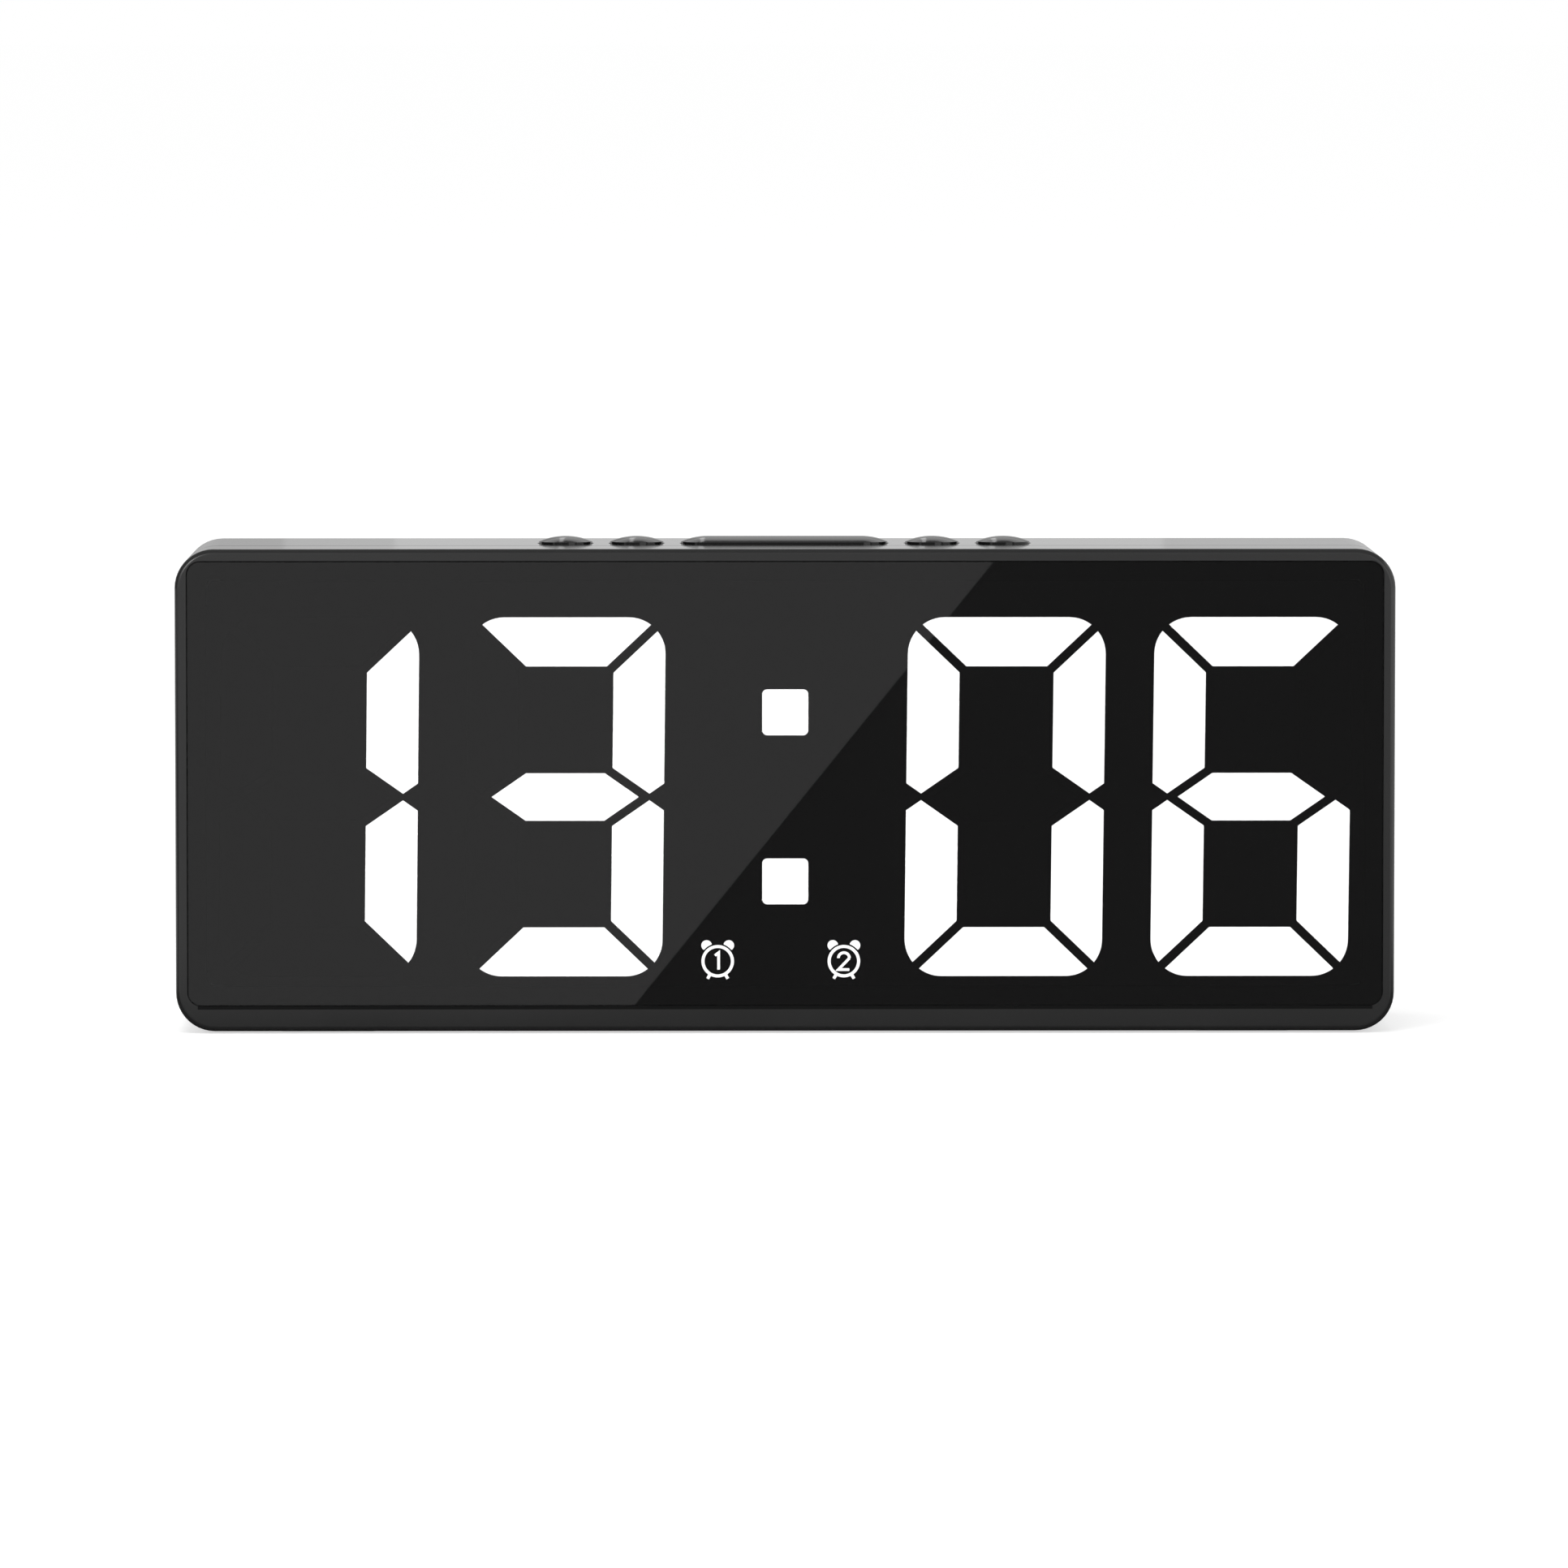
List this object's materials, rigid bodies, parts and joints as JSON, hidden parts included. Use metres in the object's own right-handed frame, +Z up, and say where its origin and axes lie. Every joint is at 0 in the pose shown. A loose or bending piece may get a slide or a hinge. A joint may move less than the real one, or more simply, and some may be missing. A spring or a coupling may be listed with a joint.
{
  "type": "digital desk clock",
  "caption": "Slim rectangular desk clock with a dark see-through front over lit segment digits, keys along its top, and a battery door and power socket behind.",
  "frame": {"origin": "centre of the footprint, on the surface that the clock stands on", "axes": "+X along the width, to the right as seen from the front; -Y the way the display faces; +Z up"},
  "size_m": [0.165, 0.033, 0.0667],
  "materials": {
    "case_front": "satin moulded plastic",
    "case_rear": "fine moulded texture",
    "see_through_panel": "polished, dark and see-through",
    "black_film": "matt black film",
    "light_box_plastic": "matt white moulding",
    "lit_diffuser": "translucent white, lit from behind",
    "dark_diffuser": "translucent insert, not lit",
    "circuit_board": "green solder mask",
    "chip_black": "moulded chip",
    "lamp_white": "lamp package",
    "bright_metal": "nickel plated",
    "screw_steel": "zinc plated",
    "cell_jacket": "plain shrink sleeve",
    "connector_cream": "plain nylon",
    "lead_red": "lead insulation",
    "lead_black": "lead insulation",
    "ribbon_grey": "flat cable",
    "buzzer_black": "moulded can",
    "key_black": "polished",
    "pad_rubber": "soft rubber",
    "plunger_plastic": "switch plunger",
    "tape_black": "double-sided tape"
  },
  "bodies": {
    "case": {"alarm_1_diffuser": "lit_diffuser", "alarm_2_diffuser": "lit_diffuser", "battery_cell_1": "cell_jacket", "battery_cell_2": "cell_jacket", "battery_cell_3": "cell_jacket", "battery_lead_black": "lead_black", "battery_lead_red": "lead_red", "battery_plates": "bright_metal", "battery_springs": "bright_metal", "board_capacitors": "bright_metal", "board_connectors": "connector_cream", "board_resistors": "chip_black", "buzzer": "buzzer_black", "buzzer_leads": "lead_black", "case_screws": "screw_steel", "clock_chip": "chip_black", "colon_dots": "lit_diffuser", "display_mask": "black_film", "display_screws": "screw_steel", "foot_pads": "pad_rubber", "front_housing": "case_front", "front_panel": "see_through_panel", "hours_tens_dark_segments": "dark_diffuser", "hours_tens_lit_segments": "lit_diffuser", "hours_units_dark_segments": "dark_diffuser", "hours_units_lit_segments": "lit_diffuser", "key_board": "circuit_board", "key_board_screws": "screw_steel", "key_ribbon": "ribbon_grey", "key_switches": "chip_black", "light_box": "light_box_plastic", "main_board": "circuit_board", "minutes_tens_dark_segments": "dark_diffuser", "minutes_tens_lit_segments": "lit_diffuser", "minutes_units_dark_segments": "dark_diffuser", "minutes_units_lit_segments": "lit_diffuser", "panel_tape": "tape_black", "power_board": "circuit_board", "power_board_screws": "screw_steel", "power_leads": "lead_red", "power_socket": "bright_metal", "rear_housing": "case_rear", "segment_leds": "lamp_white", "timing_crystal": "bright_metal"},
    "battery_cover": {"battery_cover": "case_rear"},
    "outer_left_key": {"outer_left_key": "key_black", "outer_left_plunger": "plunger_plastic"},
    "inner_left_key": {"inner_left_key": "key_black", "inner_left_plunger": "plunger_plastic"},
    "snooze_key": {"snooze_key": "key_black", "snooze_plunger": "plunger_plastic"},
    "inner_right_key": {"inner_right_key": "key_black", "inner_right_plunger": "plunger_plastic"},
    "outer_right_key": {"outer_right_key": "key_black", "outer_right_plunger": "plunger_plastic"}
  },
  "joints": [
    {"name": "outer_left_press", "type": "slide", "parent": "case", "child": "outer_left_key", "axis": [0, 0, -1], "range_m": [0, 0.0005], "stiffness_N_per_m": 400},
    {"name": "inner_left_press", "type": "slide", "parent": "case", "child": "inner_left_key", "axis": [0, 0, -1], "range_m": [0, 0.0005], "stiffness_N_per_m": 400},
    {"name": "snooze_press", "type": "slide", "parent": "case", "child": "snooze_key", "axis": [0, 0, -1], "range_m": [0, 0.0005], "stiffness_N_per_m": 400},
    {"name": "inner_right_press", "type": "slide", "parent": "case", "child": "inner_right_key", "axis": [0, 0, -1], "range_m": [0, 0.0005], "stiffness_N_per_m": 400},
    {"name": "outer_right_press", "type": "slide", "parent": "case", "child": "outer_right_key", "axis": [0, 0, -1], "range_m": [0, 0.0005], "stiffness_N_per_m": 400},
    {"name": "battery_cover_hinge", "type": "hinge", "parent": "case", "child": "battery_cover", "pos_m": [0, 0.0154, 0.0094], "axis": [-1, 0, 0], "range_deg": [0, 85]}
  ]
}
